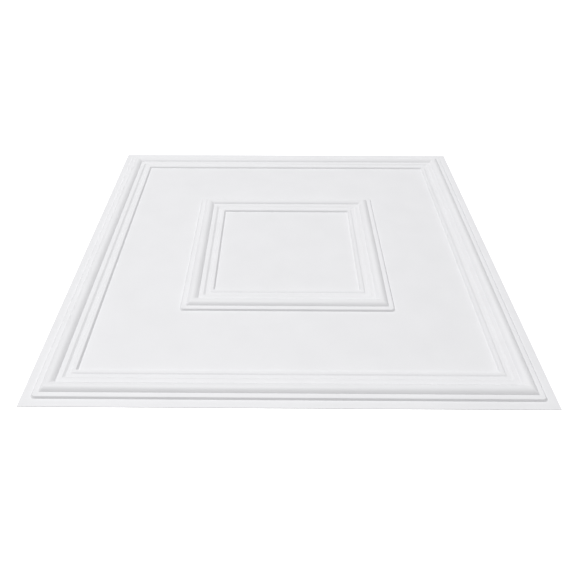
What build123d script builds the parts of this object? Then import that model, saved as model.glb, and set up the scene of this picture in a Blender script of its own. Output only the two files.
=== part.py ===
"""PVC ceiling tile: one sheet of rigid PVC, vacuum formed over a mould.

The sheet lies face up on the floor, as it is stored. Its back is at z = 0, +Z is the show face, and the origin
is the middle of the back. Two square mouldings of the same section stand up from the flat sheet, one round the
border and one round the middle panel, and they are hollow behind, because the sheet follows the mould.
"""

from build123d import *

import os
from math import radians, tan

# Sheet
TILE_SIDE = 603.0
SHEET = 0.7

# Flat parts, from the tile's edge inwards
RIM_WIDTH = 10.5
FIELD_WIDTH = 104.3

# Moulding section, from its outer step to its inner step: widths, heights above the flat parts, and how deep
# the groove lies below the bead
OUTER_LEDGE_WIDTH = 6.0
OUTER_LEDGE_RISE = 2.4
ROUND_WIDTH = 14.8
ROUND_RISE = 6.5
INNER_LEDGE_WIDTH = 7.3
INNER_LEDGE_RISE = 3.0
GROOVE_WIDTH = 6.0
BEAD_WIDTH = 5.3
BEAD_RISE = 2.5
GROOVE_DEPTH = 0.6

# Mould: how far its walls lean, and how tightly the sheet bends round its edges
WALL_DRAFT = 42.0
BEND_RADIUS = 0.3
STEP_CORNER_RADIUS = 4.0

# How near a place has to be to count as the same one
NEAR = 0.001

HALF_SIDE = TILE_SIDE / 2
DRAFT_SLOPE = tan(radians(WALL_DRAFT))
STEP_RUN = OUTER_LEDGE_RISE * DRAFT_SLOPE
MOULDING_WIDTH = (
    STEP_RUN
    + OUTER_LEDGE_WIDTH
    + ROUND_WIDTH
    + INNER_LEDGE_WIDTH
    + GROOVE_WIDTH
    + BEAD_WIDTH
    + BEAD_RISE * DRAFT_SLOPE
)
PANEL_START = RIM_WIDTH + MOULDING_WIDTH + FIELD_WIDTH


def at(distance, rise):
    """A point of the show face: distance from the tile's edge and rise above the flat become (y, z)."""
    return (distance - HALF_SIDE, SHEET + rise)


def moulding_lines(start, flat_end):
    """The show face from the foot of a moulding's outer step, over the moulding and along the flat inside it."""
    round_start = start + STEP_RUN + OUTER_LEDGE_WIDTH
    round_end = round_start + ROUND_WIDTH
    groove_start = round_end + INNER_LEDGE_WIDTH
    groove_end = groove_start + GROOVE_WIDTH
    bead_end = groove_end + BEAD_WIDTH
    groove_rise = BEAD_RISE - GROOVE_DEPTH
    groove_fall = (INNER_LEDGE_RISE - groove_rise) * DRAFT_SLOPE
    groove_climb = GROOVE_DEPTH * DRAFT_SLOPE
    hollow_bend = BEND_RADIUS
    proud_bend = BEND_RADIUS + SHEET
    return [
        Line(at(start, 0), at(start + STEP_RUN, OUTER_LEDGE_RISE)),
        Line(at(start + STEP_RUN, OUTER_LEDGE_RISE), at(round_start, OUTER_LEDGE_RISE)),
        ThreePointArc(
            at(round_start, OUTER_LEDGE_RISE),
            at((round_start + round_end) / 2, ROUND_RISE),
            at(round_end, INNER_LEDGE_RISE),
        ),
        FilletPolyline(
            at(round_end, INNER_LEDGE_RISE),
            at(groove_start, INNER_LEDGE_RISE),
            at(groove_start + groove_fall, groove_rise),
            at(groove_end - groove_climb, groove_rise),
            at(groove_end, BEAD_RISE),
            at(bead_end, BEAD_RISE),
            at(bead_end + BEAD_RISE * DRAFT_SLOPE, 0),
            at(flat_end, 0),
            radius=[proud_bend, hollow_bend, hollow_bend, proud_bend, proud_bend, hollow_bend],
        ),
    ]


def sheet_section():
    """Section of the sheet from the tile's edge to its middle."""
    lines = [
        Line(at(0, 0), at(RIM_WIDTH, 0)),
        *moulding_lines(RIM_WIDTH, PANEL_START),
        *moulding_lines(PANEL_START, HALF_SIDE),
    ]
    face_line = Wire([edge for line in lines for edge in line.edges()])
    return make_face(
        face_line.offset_2d(SHEET, kind=Kind.INTERSECTION, side=Side.RIGHT, closed=True)
    )


def mitred_quarter(section):
    """One side of the tile: its section drawn out along the side and cut to the two mitre planes."""
    side_bar = extrude(Plane.YZ * section, HALF_SIDE, both=True)
    wedge = extrude(
        make_face(Polyline((0, 0), (-HALF_SIDE, -HALF_SIDE), (HALF_SIDE, -HALF_SIDE), close=True)),
        TILE_SIDE,
        both=True,
    )
    return side_bar & wedge


def outer_step_edges(tile, start, height):
    """Edges of a moulding's outer step whose middle is at that height."""
    band_start = start - SHEET
    band_end = start + STEP_RUN + STEP_CORNER_RADIUS

    def in_step(edge):
        centre = edge.center()
        distance = HALF_SIDE - max(abs(centre.X), abs(centre.Y))
        return band_start < distance < band_end and abs(centre.Z - height) < NEAR

    return tile.edges().filter_by(in_step)


def on_mitre(edge):
    """Whether an edge lies on a mitre plane."""
    centre = edge.center()
    return abs(abs(centre.X) - abs(centre.Y)) < NEAR


def round_outer_step(tile, start):
    """Round the step's four corners, then its bends, on the show face and on the back."""
    for foot_z, corner_radius in ((SHEET, STEP_CORNER_RADIUS), (0, STEP_CORNER_RADIUS - SHEET)):
        walls = outer_step_edges(tile, start, foot_z + OUTER_LEDGE_RISE / 2)
        tile = fillet(walls.filter_by(on_mitre), corner_radius)
    proud_bend = BEND_RADIUS + SHEET
    for bend_z, bend_radius in (
        (SHEET + OUTER_LEDGE_RISE, proud_bend),
        (OUTER_LEDGE_RISE, BEND_RADIUS),
        (SHEET, BEND_RADIUS),
        (0, proud_bend),
    ):
        tile = fillet(outer_step_edges(tile, start, bend_z), bend_radius)
    return tile


def main():
    quarter = mitred_quarter(sheet_section())
    tile = quarter
    for turn in (90, 180, 270):
        tile += Rot(0, 0, turn) * quarter
    for start in (RIM_WIDTH, PANEL_START):
        tile = round_outer_step(tile, start)
    print("solids", len(tile.solids()), "faces", len(tile.faces()), "volume", tile.volume, tile.is_valid)
    os.makedirs("parts", exist_ok=True)
    export_step(tile, "parts/ceiling_tile.step")


main()
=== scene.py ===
# %% [markdown]
# # A vacuum-formed PVC ceiling tile
#
# The tile is one thin sheet of white rigid PVC. The maker heats the sheet, lays it over a mould and sucks
# the air out from under it, so every line of the face is a bend in the same sheet, and the back is hollow
# behind the mouldings. This lesson models that sheet by hand, gives it a satin plastic finish, and lights
# and photographs it lying on a white floor.

# %% Load the measured model
from math import atan2, cos, pi, radians, sin, tan

import bpy
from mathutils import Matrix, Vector


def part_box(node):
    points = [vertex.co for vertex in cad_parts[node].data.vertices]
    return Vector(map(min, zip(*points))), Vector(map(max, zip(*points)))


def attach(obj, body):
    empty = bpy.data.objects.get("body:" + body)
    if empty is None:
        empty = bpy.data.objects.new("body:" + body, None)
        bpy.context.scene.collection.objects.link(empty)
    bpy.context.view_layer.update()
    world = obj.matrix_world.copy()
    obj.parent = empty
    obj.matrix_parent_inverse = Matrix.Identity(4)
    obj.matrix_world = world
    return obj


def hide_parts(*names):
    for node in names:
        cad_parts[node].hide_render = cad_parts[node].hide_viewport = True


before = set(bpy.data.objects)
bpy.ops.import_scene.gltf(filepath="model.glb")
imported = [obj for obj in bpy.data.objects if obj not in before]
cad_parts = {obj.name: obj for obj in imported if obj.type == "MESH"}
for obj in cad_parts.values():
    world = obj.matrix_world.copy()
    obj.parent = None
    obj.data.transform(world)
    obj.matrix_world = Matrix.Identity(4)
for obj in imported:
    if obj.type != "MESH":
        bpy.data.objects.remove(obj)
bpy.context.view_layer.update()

# %% [markdown]
# ## The moulding's section
#
# All the lines of the tile come from one section, drawn from the tile's edge towards its middle: a flat
# rim, a step up, a ledge, a round, a second ledge that slopes into a shallow groove, a narrow bead with a
# soft shoulder, and a step down to the flat field. The same section comes again round the middle panel.
# The sizes are written in millimetres, as on a drawing, and one helper turns them into Blender's metres.

# %% Sizes of the sheet
def mm(length):
    """A length in millimetres, in Blender's metres."""
    return length / 1000


tile_low, tile_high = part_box("ceiling_tile")
HALF_SIDE = (tile_high.x - tile_low.x) / 2
SHEET = mm(0.7)
FACE_Z = tile_low.z + SHEET

RIM_WIDTH = mm(10.9)
FIELD_WIDTH = mm(104.9)
OUTER_LEDGE_WIDTH = mm(5.9)
OUTER_LEDGE_RISE = mm(2.4)
ROUND_WIDTH = mm(14.9)
ROUND_RISE = mm(6.5)
INNER_LEDGE_WIDTH = mm(5.8)
INNER_LEDGE_RISE = mm(2.8)
COVE_WIDTH = mm(2.8)
GROOVE_WIDTH = mm(4.5)
GROOVE_RISE = mm(1.3)
BEAD_FLANK_WIDTH = mm(1.9)
BEAD_SHOULDER_RISE = mm(2.5)
BEAD_WIDTH = mm(3.4)
BEAD_RISE = mm(2.55)

OUTER_STEP_DRAFT = radians(38)
INNER_STEP_DRAFT = radians(40)
HOLLOW_BEND = mm(0.3)
PROUD_BEND = HOLLOW_BEND + SHEET
BEAD_SHOULDER_RADIUS = mm(1.5)
STEP_CORNER_RADIUS = mm(4.0)
print("rim face is", round(1000 * (FACE_Z - tile_low.z), 2), "mm above the floor")

# %% [markdown]
# ## The section's points
#
# The section becomes a list of points, each with its distance from the tile's edge and its height above
# the rim. The round is fuller in the middle and straighter at its feet than a circle, because the sheet
# stretches over the mould's rib without lying in its corners. A parabola gives that form from a width and
# a height alone.

# %% Points of the section
ROUND_SEGMENTS = 20


def round_points(start):
    """Points (distance, height) of the round after its first: a parabola over the line between its feet."""
    crown = ROUND_RISE - (OUTER_LEDGE_RISE + INNER_LEDGE_RISE) / 2
    points = []
    for step in range(1, ROUND_SEGMENTS + 1):
        share = step / ROUND_SEGMENTS
        foot_line = OUTER_LEDGE_RISE + share * (INNER_LEDGE_RISE - OUTER_LEDGE_RISE)
        points.append((start + share * ROUND_WIDTH, foot_line + 4 * crown * share * (1 - share)))
    return points


def moulding_points(start):
    """Points (distance from the tile's edge, height above the rim) of one moulding, edge to middle."""
    ledge_start = start + OUTER_LEDGE_RISE * tan(OUTER_STEP_DRAFT)
    round_start = ledge_start + OUTER_LEDGE_WIDTH
    cove_start = round_start + ROUND_WIDTH + INNER_LEDGE_WIDTH
    groove_start = cove_start + COVE_WIDTH
    groove_end = groove_start + GROOVE_WIDTH
    shoulder = groove_end + BEAD_FLANK_WIDTH
    bead_end = shoulder + BEAD_WIDTH
    return [
        (start, 0),
        (ledge_start, OUTER_LEDGE_RISE),
        (round_start, OUTER_LEDGE_RISE),
        *round_points(round_start),
        (cove_start, INNER_LEDGE_RISE),
        (groove_start, GROOVE_RISE),
        (groove_end, GROOVE_RISE),
        (shoulder, BEAD_SHOULDER_RISE),
        (bead_end, BEAD_RISE),
        (bead_end + BEAD_RISE * tan(INNER_STEP_DRAFT), 0),
    ]


border_points = moulding_points(RIM_WIDTH)
PANEL_START = border_points[-1][0] + FIELD_WIDTH
panel_points = moulding_points(PANEL_START)
print("border moulding ends", round(1000 * border_points[-1][0], 1), "mm from the edge")
print("middle panel is", round(2000 * (HALF_SIDE - panel_points[-1][0]), 1), "mm square")

# %% [markdown]
# ## Insetting the section into a plane
#
# A square plane is the flat sheet. Each point of the section becomes one inset: its thickness is how far
# the point lies further in, and its depth is how much it lies higher. An inset keeps the face square, so
# the four sides meet at the corners in mitres, as they do on the mould. Extruding a profile along a path
# would give the same form, but then the mitres have to be cut and joined by hand.

# %% Inset both mouldings
bpy.ops.object.select_all(action="DESELECT")
bpy.ops.mesh.primitive_plane_add(size=2 * HALF_SIDE, location=(0, 0, FACE_Z))
tile = bpy.context.active_object
tile.name = "tile_sheet"
bpy.ops.object.transform_apply(location=True, rotation=True, scale=True)

bpy.ops.object.mode_set(mode="EDIT")
bpy.ops.mesh.select_mode(type="FACE")
bpy.ops.mesh.select_all(action="SELECT")
last_distance, last_height = 0, 0
for distance, height in border_points + panel_points:
    bpy.ops.mesh.inset(
        thickness=distance - last_distance, depth=height - last_height, use_boundary=True
    )
    last_distance, last_height = distance, height
bpy.ops.object.mode_set(mode="OBJECT")
print("rings of the sheet:", len(border_points + panel_points), "faces:", len(tile.data.polygons))

# %% [markdown]
# ## Rounding the corners and bends
#
# Three kinds of edges are rounded by the bevel operator. The outer step of each moulding turns the tile's
# corners on a radius of a few millimetres. All the bends round off by as much as the sheet's thickness
# allows, tightly where the sheet folds inwards and more loosely where it folds outwards. The mitres are
# eased as the loose bends are. A bevel modifier with an angle limit would round them all alike, so the
# edges are picked in code, by where their ends lie.

# %% Pick edges by place
NEAR = mm(0.02)
LEAST_BEND = radians(15)


def from_edge(point):
    """How far a point lies from the tile's edge, towards the middle."""
    return HALF_SIDE - max(abs(point.x), abs(point.y))


def select_edges(wanted, least_bend=0):
    """Select the tile's edges that bend at least so much and whose two ends pass the test."""
    bpy.ops.object.mode_set(mode="EDIT")
    bpy.ops.mesh.select_mode(type="EDGE")
    bpy.ops.mesh.select_all(action="DESELECT")
    bpy.ops.mesh.edges_select_sharp(sharpness=least_bend)
    bpy.ops.object.mode_set(mode="OBJECT")
    points = tile.data.vertices
    bends = [edge for edge in tile.data.edges if edge.select]
    for edge in bends:
        edge.select = wanted(*(points[index].co for index in edge.vertices))
    for point in points:
        point.select = False
    for face in tile.data.polygons:
        face.select = False
    bpy.ops.object.mode_set(mode="EDIT")
    return sum(edge.select for edge in bends)


def along_mitre(first, second):
    """Whether an edge runs along one of the two diagonals."""
    middle = (first + second) / 2
    return abs(abs(middle.x) - abs(middle.y)) < NEAR


# %% Round the steps' corners
CORNER_SEGMENTS = 8
for start in (RIM_WIDTH, PANEL_START):
    def wall_corner(first, second):
        """Whether an edge is a corner of this moulding's outer step."""
        low, high = sorted((first, second), key=lambda point: point.z)
        is_wall = abs(from_edge(low) - start) < NEAR and abs(high.z - low.z - OUTER_LEDGE_RISE) < NEAR
        return is_wall and along_mitre(low, high)

    count = select_edges(wall_corner, LEAST_BEND)
    bpy.ops.mesh.bevel(offset=STEP_CORNER_RADIUS, segments=CORNER_SEGMENTS, affect="EDGES")
    bpy.ops.object.mode_set(mode="OBJECT")
    print("rounded", count, "corners of the step at", round(1000 * start, 1), "mm")

# %% Round the bends
BEND_SEGMENTS = 4


def bend_turn(before, bend, after):
    """The angle that the section turns by at one of its points."""
    first = atan2(bend[1] - before[1], bend[0] - before[0])
    second = atan2(after[1] - bend[1], after[0] - bend[0])
    return abs(second - first)


def round_bend(points, index, radius, corner=0):
    """Bevel the loop of edges at one point of a section; corner is how far its rounded corners reach in."""
    distance, height = points[index]

    def along_loop(first, second):
        """Whether an edge lies on this bend's loop."""
        level = all(abs(point.z - FACE_Z - height) < NEAR for point in (first, second))
        near = all(-NEAR < from_edge(point) - distance < corner + NEAR for point in (first, second))
        return level and near

    flat_points = [(0, 0), *points, (HALF_SIDE, 0)]
    turn = bend_turn(*flat_points[index % len(points):][:3])
    count = select_edges(along_loop, LEAST_BEND)
    bpy.ops.mesh.bevel(offset=radius * tan(turn / 2), segments=BEND_SEGMENTS, affect="EDGES")
    bpy.ops.object.mode_set(mode="OBJECT")
    return count


STEP_FOOT, STEP_TOP, ROUND_START = 0, 1, 2
ROUND_END, COVE_TOP, COVE_FOOT, GROOVE_END, BEAD_SHOULDER, BEAD_EDGE, INNER_FOOT = range(-7, 0)
for points in (border_points, panel_points):
    loops = [
        round_bend(points, STEP_FOOT, HOLLOW_BEND, STEP_CORNER_RADIUS),
        round_bend(points, STEP_TOP, PROUD_BEND, STEP_CORNER_RADIUS),
    ]
    loops += [round_bend(points, bend, PROUD_BEND) for bend in (COVE_TOP, BEAD_EDGE)]
    loops += [round_bend(points, BEAD_SHOULDER, BEAD_SHOULDER_RADIUS)]
    loops += [
        round_bend(points, bend, HOLLOW_BEND)
        for bend in (ROUND_START, ROUND_END, COVE_FOOT, GROOVE_END, INNER_FOOT)
    ]
    print("edges in each rounded bend:", loops)

# %% Ease the mitres
MITRE_RADIUS = PROUD_BEND
MITRE_SEGMENTS = 3
for points in (border_points, panel_points):
    mitre_start = points[ROUND_START][0] - MITRE_RADIUS
    mitre_end = points[INNER_FOOT][0] + MITRE_RADIUS

    def mitre_line(first, second):
        """Whether an edge is on a mitre of this moulding, inside its outer step."""
        inside = all(mitre_start < from_edge(point) < mitre_end for point in (first, second))
        return inside and along_mitre(first, second)

    count = select_edges(mitre_line)
    bpy.ops.mesh.bevel(offset=MITRE_RADIUS, segments=MITRE_SEGMENTS, affect="EDGES")
    bpy.ops.object.mode_set(mode="OBJECT")
    print("edges in the eased mitres:", count)

# %% [markdown]
# ## Thickness
#
# So far the sheet is only its show face. A Solidify modifier with an even thickness grows it downwards,
# so the back follows every bend, as it does when a sheet is drawn over a mould, and the rim's back ends
# up on the floor. The modifier is applied, so that the thickness is part of the mesh.

# %% Grow the sheet's thickness
bpy.ops.object.modifier_add(type="SOLIDIFY")
solidify = tile.modifiers[-1]
solidify.thickness = SHEET
solidify.offset = -1
solidify.use_even_offset = True
bpy.ops.object.modifier_apply(modifier=solidify.name)
print("sheet of", round(1000 * SHEET, 2), "mm, faces:", len(tile.data.polygons))

# %% [markdown]
# ## The cut edge and the shading
#
# The formed sheet is trimmed with a die, which rolls the show face over a little at the cut. A small
# bevel along the rim's upper edge does the same. Bends below a set angle are then shaded smoothly, and
# weighted normals keep the flats looking flat right up to the bends.

# %% Ease the cut edge
CUT_EDGE_RADIUS = mm(0.35)
CUT_EDGE_SEGMENTS = 3


def rim_edge(first, second):
    """Whether an edge is part of the show face's outline."""
    return all(from_edge(point) < NEAR and abs(point.z - FACE_Z) < NEAR for point in (first, second))


count = select_edges(rim_edge, LEAST_BEND)
bpy.ops.mesh.bevel(offset=CUT_EDGE_RADIUS, segments=CUT_EDGE_SEGMENTS, affect="EDGES")
bpy.ops.object.mode_set(mode="OBJECT")
print("eased", count, "edges of the rim")

# %% Shade the bends
SMOOTH_BELOW = radians(35)
LARGE_FACES_ONLY = 100
bpy.ops.object.shade_smooth_by_angle(angle=SMOOTH_BELOW)
bpy.ops.object.modifier_add(type="WEIGHTED_NORMAL")
weighted = tile.modifiers[-1]
weighted.mode = "FACE_AREA"
weighted.weight = LARGE_FACES_ONLY
weighted.keep_sharp = True
bpy.ops.object.modifier_apply(modifier=weighted.name)
lowest = min(point.co.z for point in tile.data.vertices)
highest = max(point.co.z for point in tile.data.vertices)
print("sheet from", round(1000 * lowest, 3), "to", round(1000 * highest, 3), "mm high")

# %% [markdown]
# ## White rigid PVC
#
# The sheet is calendered rigid PVC, coloured white right through. A calendered sheet has a satin face:
# light spreads widely on it, with a soft sheen and no sharp mirror image. Drawing it over the mould
# leaves a faint cloudiness in the gloss. An image texture could show that, but noise on Object
# coordinates has no seams, so it runs over both faces and the cut edge alike.

# %% Node and colour helpers
def linear(hex_colour):
    """An sRGB colour such as "#ECECEE" as the linear colour that Blender's sockets take."""
    channels = [int(hex_colour[at:at + 2], 16) / 255 for at in (1, 3, 5)]
    return [c / 12.92 if c <= 0.04045 else ((c + 0.055) / 1.055) ** 2.4 for c in channels] + [1]


def add_node(tree, kind, inputs=None, **settings):
    """Add a node; inputs are values, or the sockets that its own sockets are linked to."""
    node = tree.nodes.new(kind)
    for name, value in settings.items():
        setattr(node, name, value)
    for name, value in (inputs or {}).items():
        if isinstance(value, bpy.types.NodeSocket):
            tree.links.new(value, node.inputs[name])
        else:
            node.inputs[name].default_value = value
    return node


def new_material(name):
    """An empty material with its output, ready for nodes."""
    material = bpy.data.materials.new(name)
    material.use_nodes = True
    material.node_tree.nodes.clear()
    return material


# %% Satin PVC
PVC_IOR = 1.53
PVC_DULL = "#ECECEE"
PVC_BRIGHT = "#EEEEF0"
LEAST_ROUGH, MOST_ROUGH = 0.54, 0.6
CLOUD_SIZE = mm(45)
CLOUD_LOW, CLOUD_HIGH = 0.3, 0.7
# A calendered grain is finer than this, and is drawn coarser so that it can show at all.
GRAIN_SIZE = mm(1.2)
GRAIN_HEIGHT = mm(0.006)


def satin_pvc():
    """Calendered white PVC: a wide soft sheen, a faint cloudiness and a grain too fine to see by itself."""
    material = new_material("satin_white_pvc")
    tree = material.node_tree
    place = add_node(tree, "ShaderNodeTexCoord").outputs["Object"]
    cloud = add_node(
        tree, "ShaderNodeTexNoise", {"Vector": place, "Scale": 1 / CLOUD_SIZE, "Detail": 3.0}
    ).outputs["Fac"]
    colour = add_node(tree, "ShaderNodeValToRGB", {"Fac": cloud})
    colour.color_ramp.elements[0].position = CLOUD_LOW
    colour.color_ramp.elements[0].color = linear(PVC_DULL)
    colour.color_ramp.elements[1].position = CLOUD_HIGH
    colour.color_ramp.elements[1].color = linear(PVC_BRIGHT)
    gloss = add_node(
        tree,
        "ShaderNodeMapRange",
        {
            "Value": cloud,
            "From Min": CLOUD_LOW,
            "From Max": CLOUD_HIGH,
            "To Min": LEAST_ROUGH,
            "To Max": MOST_ROUGH,
        },
    ).outputs["Result"]
    grain = add_node(
        tree, "ShaderNodeTexNoise", {"Vector": place, "Scale": 1 / GRAIN_SIZE, "Detail": 2.0}
    ).outputs["Fac"]
    relief = add_node(
        tree, "ShaderNodeBump", {"Height": grain, "Distance": GRAIN_HEIGHT, "Strength": 1.0}
    ).outputs["Normal"]
    shader = add_node(
        tree,
        "ShaderNodeBsdfPrincipled",
        {"Base Color": colour.outputs["Color"], "Roughness": gloss, "IOR": PVC_IOR, "Normal": relief},
    )
    add_node(tree, "ShaderNodeOutputMaterial", {"Surface": shader.outputs["BSDF"]})
    return material


tile.data.materials.append(satin_pvc())
print("finish:", tile.data.materials[0].name)

# %% [markdown]
# ## Joining the measured model
#
# The modelled sheet stands in for the measured solid, which stays for its weight and its collisions.

# %% Put the sheet in the frame
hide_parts("ceiling_tile")
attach(tile, "root")
print("the tile has", len(tile.data.polygons), "faces")

# %% [markdown]
# ## A white floor
#
# The floor is a plain white sheet of card. Lit like the tile it would come out pale grey, so it glows a
# little, and only for the camera and in reflections. The tile itself gets no light from that glow, and
# its shadow stays. The card is only as large as the lamp lights evenly, because further out it would fade
# to grey. A glowing mesh is also sampled as a lamp, which would waste most of the samples on a glow that
# lights nothing and leave noise on the tile, so that sampling is turned off.

# %% Floor
FLOOR_SIDE = 4.4
FLOOR_GLOW = 0.5
FLOOR_GAP = mm(0.05)
CARD_WHITE = "#F0F0F0"


def seen_directly(tree):
    """A socket that is 1 for what the camera sees, also in reflections and through glass, and 0 for light."""
    ray = add_node(tree, "ShaderNodeLightPath").outputs
    mirrored = add_node(
        tree,
        "ShaderNodeMath",
        {0: ray["Is Glossy Ray"], 1: ray["Is Transmission Ray"]},
        operation="MAXIMUM",
    ).outputs["Value"]
    return add_node(
        tree, "ShaderNodeMath", {0: ray["Is Camera Ray"], 1: mirrored}, operation="MAXIMUM"
    ).outputs["Value"]


def white_card():
    """Matt white card with a faint glow that only the camera and reflections see."""
    material = new_material("white_card")
    material.cycles.emission_sampling = "NONE"
    tree = material.node_tree
    strength = add_node(
        tree, "ShaderNodeMath", {0: seen_directly(tree), 1: FLOOR_GLOW}, operation="MULTIPLY"
    ).outputs["Value"]
    card = add_node(tree, "ShaderNodeBsdfDiffuse", {"Color": linear(CARD_WHITE)})
    glow = add_node(tree, "ShaderNodeEmission", {"Strength": strength})
    both = add_node(tree, "ShaderNodeAddShader", {0: card.outputs["BSDF"], 1: glow.outputs["Emission"]})
    add_node(tree, "ShaderNodeOutputMaterial", {"Surface": both.outputs["Shader"]})
    return material


bpy.ops.object.select_all(action="DESELECT")
bpy.ops.mesh.primitive_plane_add(size=FLOOR_SIDE, location=(0, 0, tile_low.z - FLOOR_GAP))
floor = bpy.context.active_object
floor.name = "floor"
floor.data.materials.append(white_card())
print("floor at", round(1000 * floor.location.z, 2), "mm")

# %% [markdown]
# ## Light
#
# Relief this low shows only by its shading. A wide soft lamp hangs high over the tile, a little behind it
# and to the left, so every wall is darker than the flats, and those that turn to the camera or to the
# right are the darkest. A dim even sky fills the rest. Below and near the horizon the sky looks white to
# the camera and in reflections, so the card's edges can't be seen, and the tile gets no more from it than
# a faint sheen.

# %% Sky
SKY_LEVEL = 0.03
HORIZON_TOP = 0.34
SKY_START = 0.38


def studio_sky():
    """A dim even sky, white to the camera and to reflections in a band along the horizon."""
    sky_world = bpy.data.worlds.new("studio_sky")
    sky_world.use_nodes = True
    tree = sky_world.node_tree
    tree.nodes.clear()
    direction = add_node(tree, "ShaderNodeTexCoord").outputs["Generated"]
    height = add_node(tree, "ShaderNodeSeparateXYZ", {"Vector": direction}).outputs["Z"]
    band = add_node(
        tree,
        "ShaderNodeMapRange",
        {"Value": height, "From Min": HORIZON_TOP, "From Max": SKY_START, "To Min": 1.0, "To Max": 0.0},
    ).outputs["Result"]
    seen = add_node(
        tree, "ShaderNodeMath", {0: seen_directly(tree), 1: band}, operation="MULTIPLY"
    ).outputs["Value"]
    strength = add_node(
        tree, "ShaderNodeMapRange", {"Value": seen, "To Min": SKY_LEVEL, "To Max": 1.0}
    ).outputs["Result"]
    glow = add_node(tree, "ShaderNodeBackground", {"Color": linear("#FFFFFF"), "Strength": strength})
    add_node(tree, "ShaderNodeOutputWorld", {"Surface": glow.outputs["Background"]})
    return sky_world


bpy.context.scene.world = studio_sky()
bpy.context.scene.view_settings.view_transform = "Standard"
print("sky level", SKY_LEVEL)

# %% Lamp
LAMP_LEVEL = 0.985
LAMP_DISTANCE = 8.0
LAMP_WIDTH = 3.2
LAMP_ELEVATION = radians(78)
LAMP_AZIMUTH = radians(57)

bpy.ops.object.light_add(type="AREA")
lamp = bpy.context.active_object
lamp.name = "overhead_softbox"
lamp.data.shape = "DISK"
lamp.data.size = LAMP_WIDTH
lean = radians(90) - LAMP_ELEVATION
lamp_direction = Vector((-sin(lean) * sin(LAMP_AZIMUTH), sin(lean) * cos(LAMP_AZIMUTH), cos(lean)))
lamp.location = LAMP_DISTANCE * lamp_direction
lamp.rotation_euler = (-lean, 0, LAMP_AZIMUTH)
lamp.data.energy = LAMP_LEVEL * (pi * LAMP_DISTANCE) ** 2 / sin(LAMP_ELEVATION)
print("lamp at", [round(value, 2) for value in lamp.location], "energy", round(lamp.data.energy, 1))

# %% [markdown]
# ## Camera
#
# The tile's four corners in the photograph fix where the camera stood: about 0.7 m in front of the tile's
# middle and 0.5 m up. The picture was cropped a little off its middle, which is what the camera's small
# shift says.

# %% Camera
CAMERA_PLACE = Vector((mm(-10.4), mm(-702.2), mm(508.3)))
CAMERA_TILT_DOWN = radians(39.875)
CAMERA_TURN = radians(0.473)
SENSOR = 36.0
LENS = 35.82
SHIFT_X = 0.0208

bpy.ops.object.camera_add(location=CAMERA_PLACE)
camera = bpy.context.active_object
camera.rotation_euler = (radians(90) - CAMERA_TILT_DOWN, 0, CAMERA_TURN)
camera.data.sensor_width = SENSOR
camera.data.lens = LENS
camera.data.shift_x = SHIFT_X
bpy.context.scene.camera = camera
print("camera", [round(value, 3) for value in camera.location])
